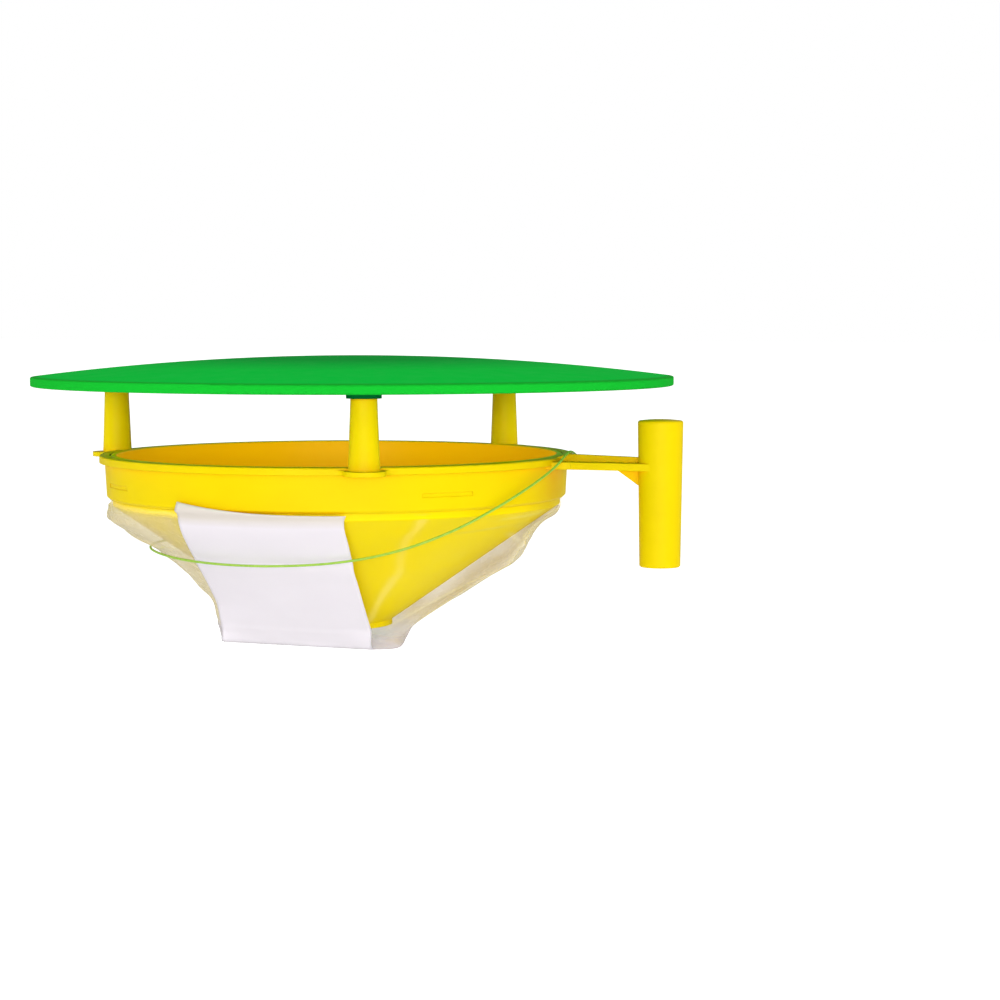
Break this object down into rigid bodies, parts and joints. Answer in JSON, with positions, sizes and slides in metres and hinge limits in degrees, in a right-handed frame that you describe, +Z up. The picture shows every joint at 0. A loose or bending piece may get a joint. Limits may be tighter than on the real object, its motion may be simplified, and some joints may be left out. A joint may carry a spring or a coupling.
{
  "type": "insect funnel trap",
  "caption": "Yellow funnel trap under a shallow green canopy on three posts, with a side tube for a stake, a hanging film catch bag, a blank label and a tie cord.",
  "frame": {"origin": "centre of the stake socket's open lower mouth", "axes": "+Z up along the stake, the arm and the ring lie towards -X, so +X points from the ring's axis to the stake"},
  "size_m": [0.2238, 0.2168, 0.1003],
  "materials": {
    "frame_yellow": "semi-gloss moulded",
    "funnel_yellow": "semi-gloss moulded",
    "canopy_green": "semi-gloss moulded",
    "cup_green": "semi-gloss moulded",
    "lure_rubber": "matt",
    "bag_film": "thin clear film",
    "label_white": "satin",
    "cord_green": "thin synthetic cord"
  },
  "bodies": {
    "frame": {"ring_frame": "frame_yellow", "stake_arm": "frame_yellow", "catch_bag": "bag_film", "label": "label_white", "tie_cord": "cord_green", "tie_knot": "cord_green"},
    "funnel": {"funnel": "funnel_yellow"},
    "canopy": {"canopy": "canopy_green"},
    "lure_cup": {"lure_cup": "cup_green", "lure": "lure_rubber"}
  },
  "joints": [
    {"name": "canopy_lift", "type": "slide", "parent": "frame", "child": "canopy", "axis": [0, 0, 1], "range_m": [0, 0.03]},
    {"name": "lure_cup_turn", "type": "hinge", "parent": "canopy", "child": "lure_cup", "pos_m": [-0.108, 0, 0.06], "axis": [0, 0, 1], "range_deg": [0, 30]},
    {"name": "funnel_lift", "type": "slide", "parent": "frame", "child": "funnel", "axis": [0, 0, 1], "range_m": [0, 0.018]}
  ]
}
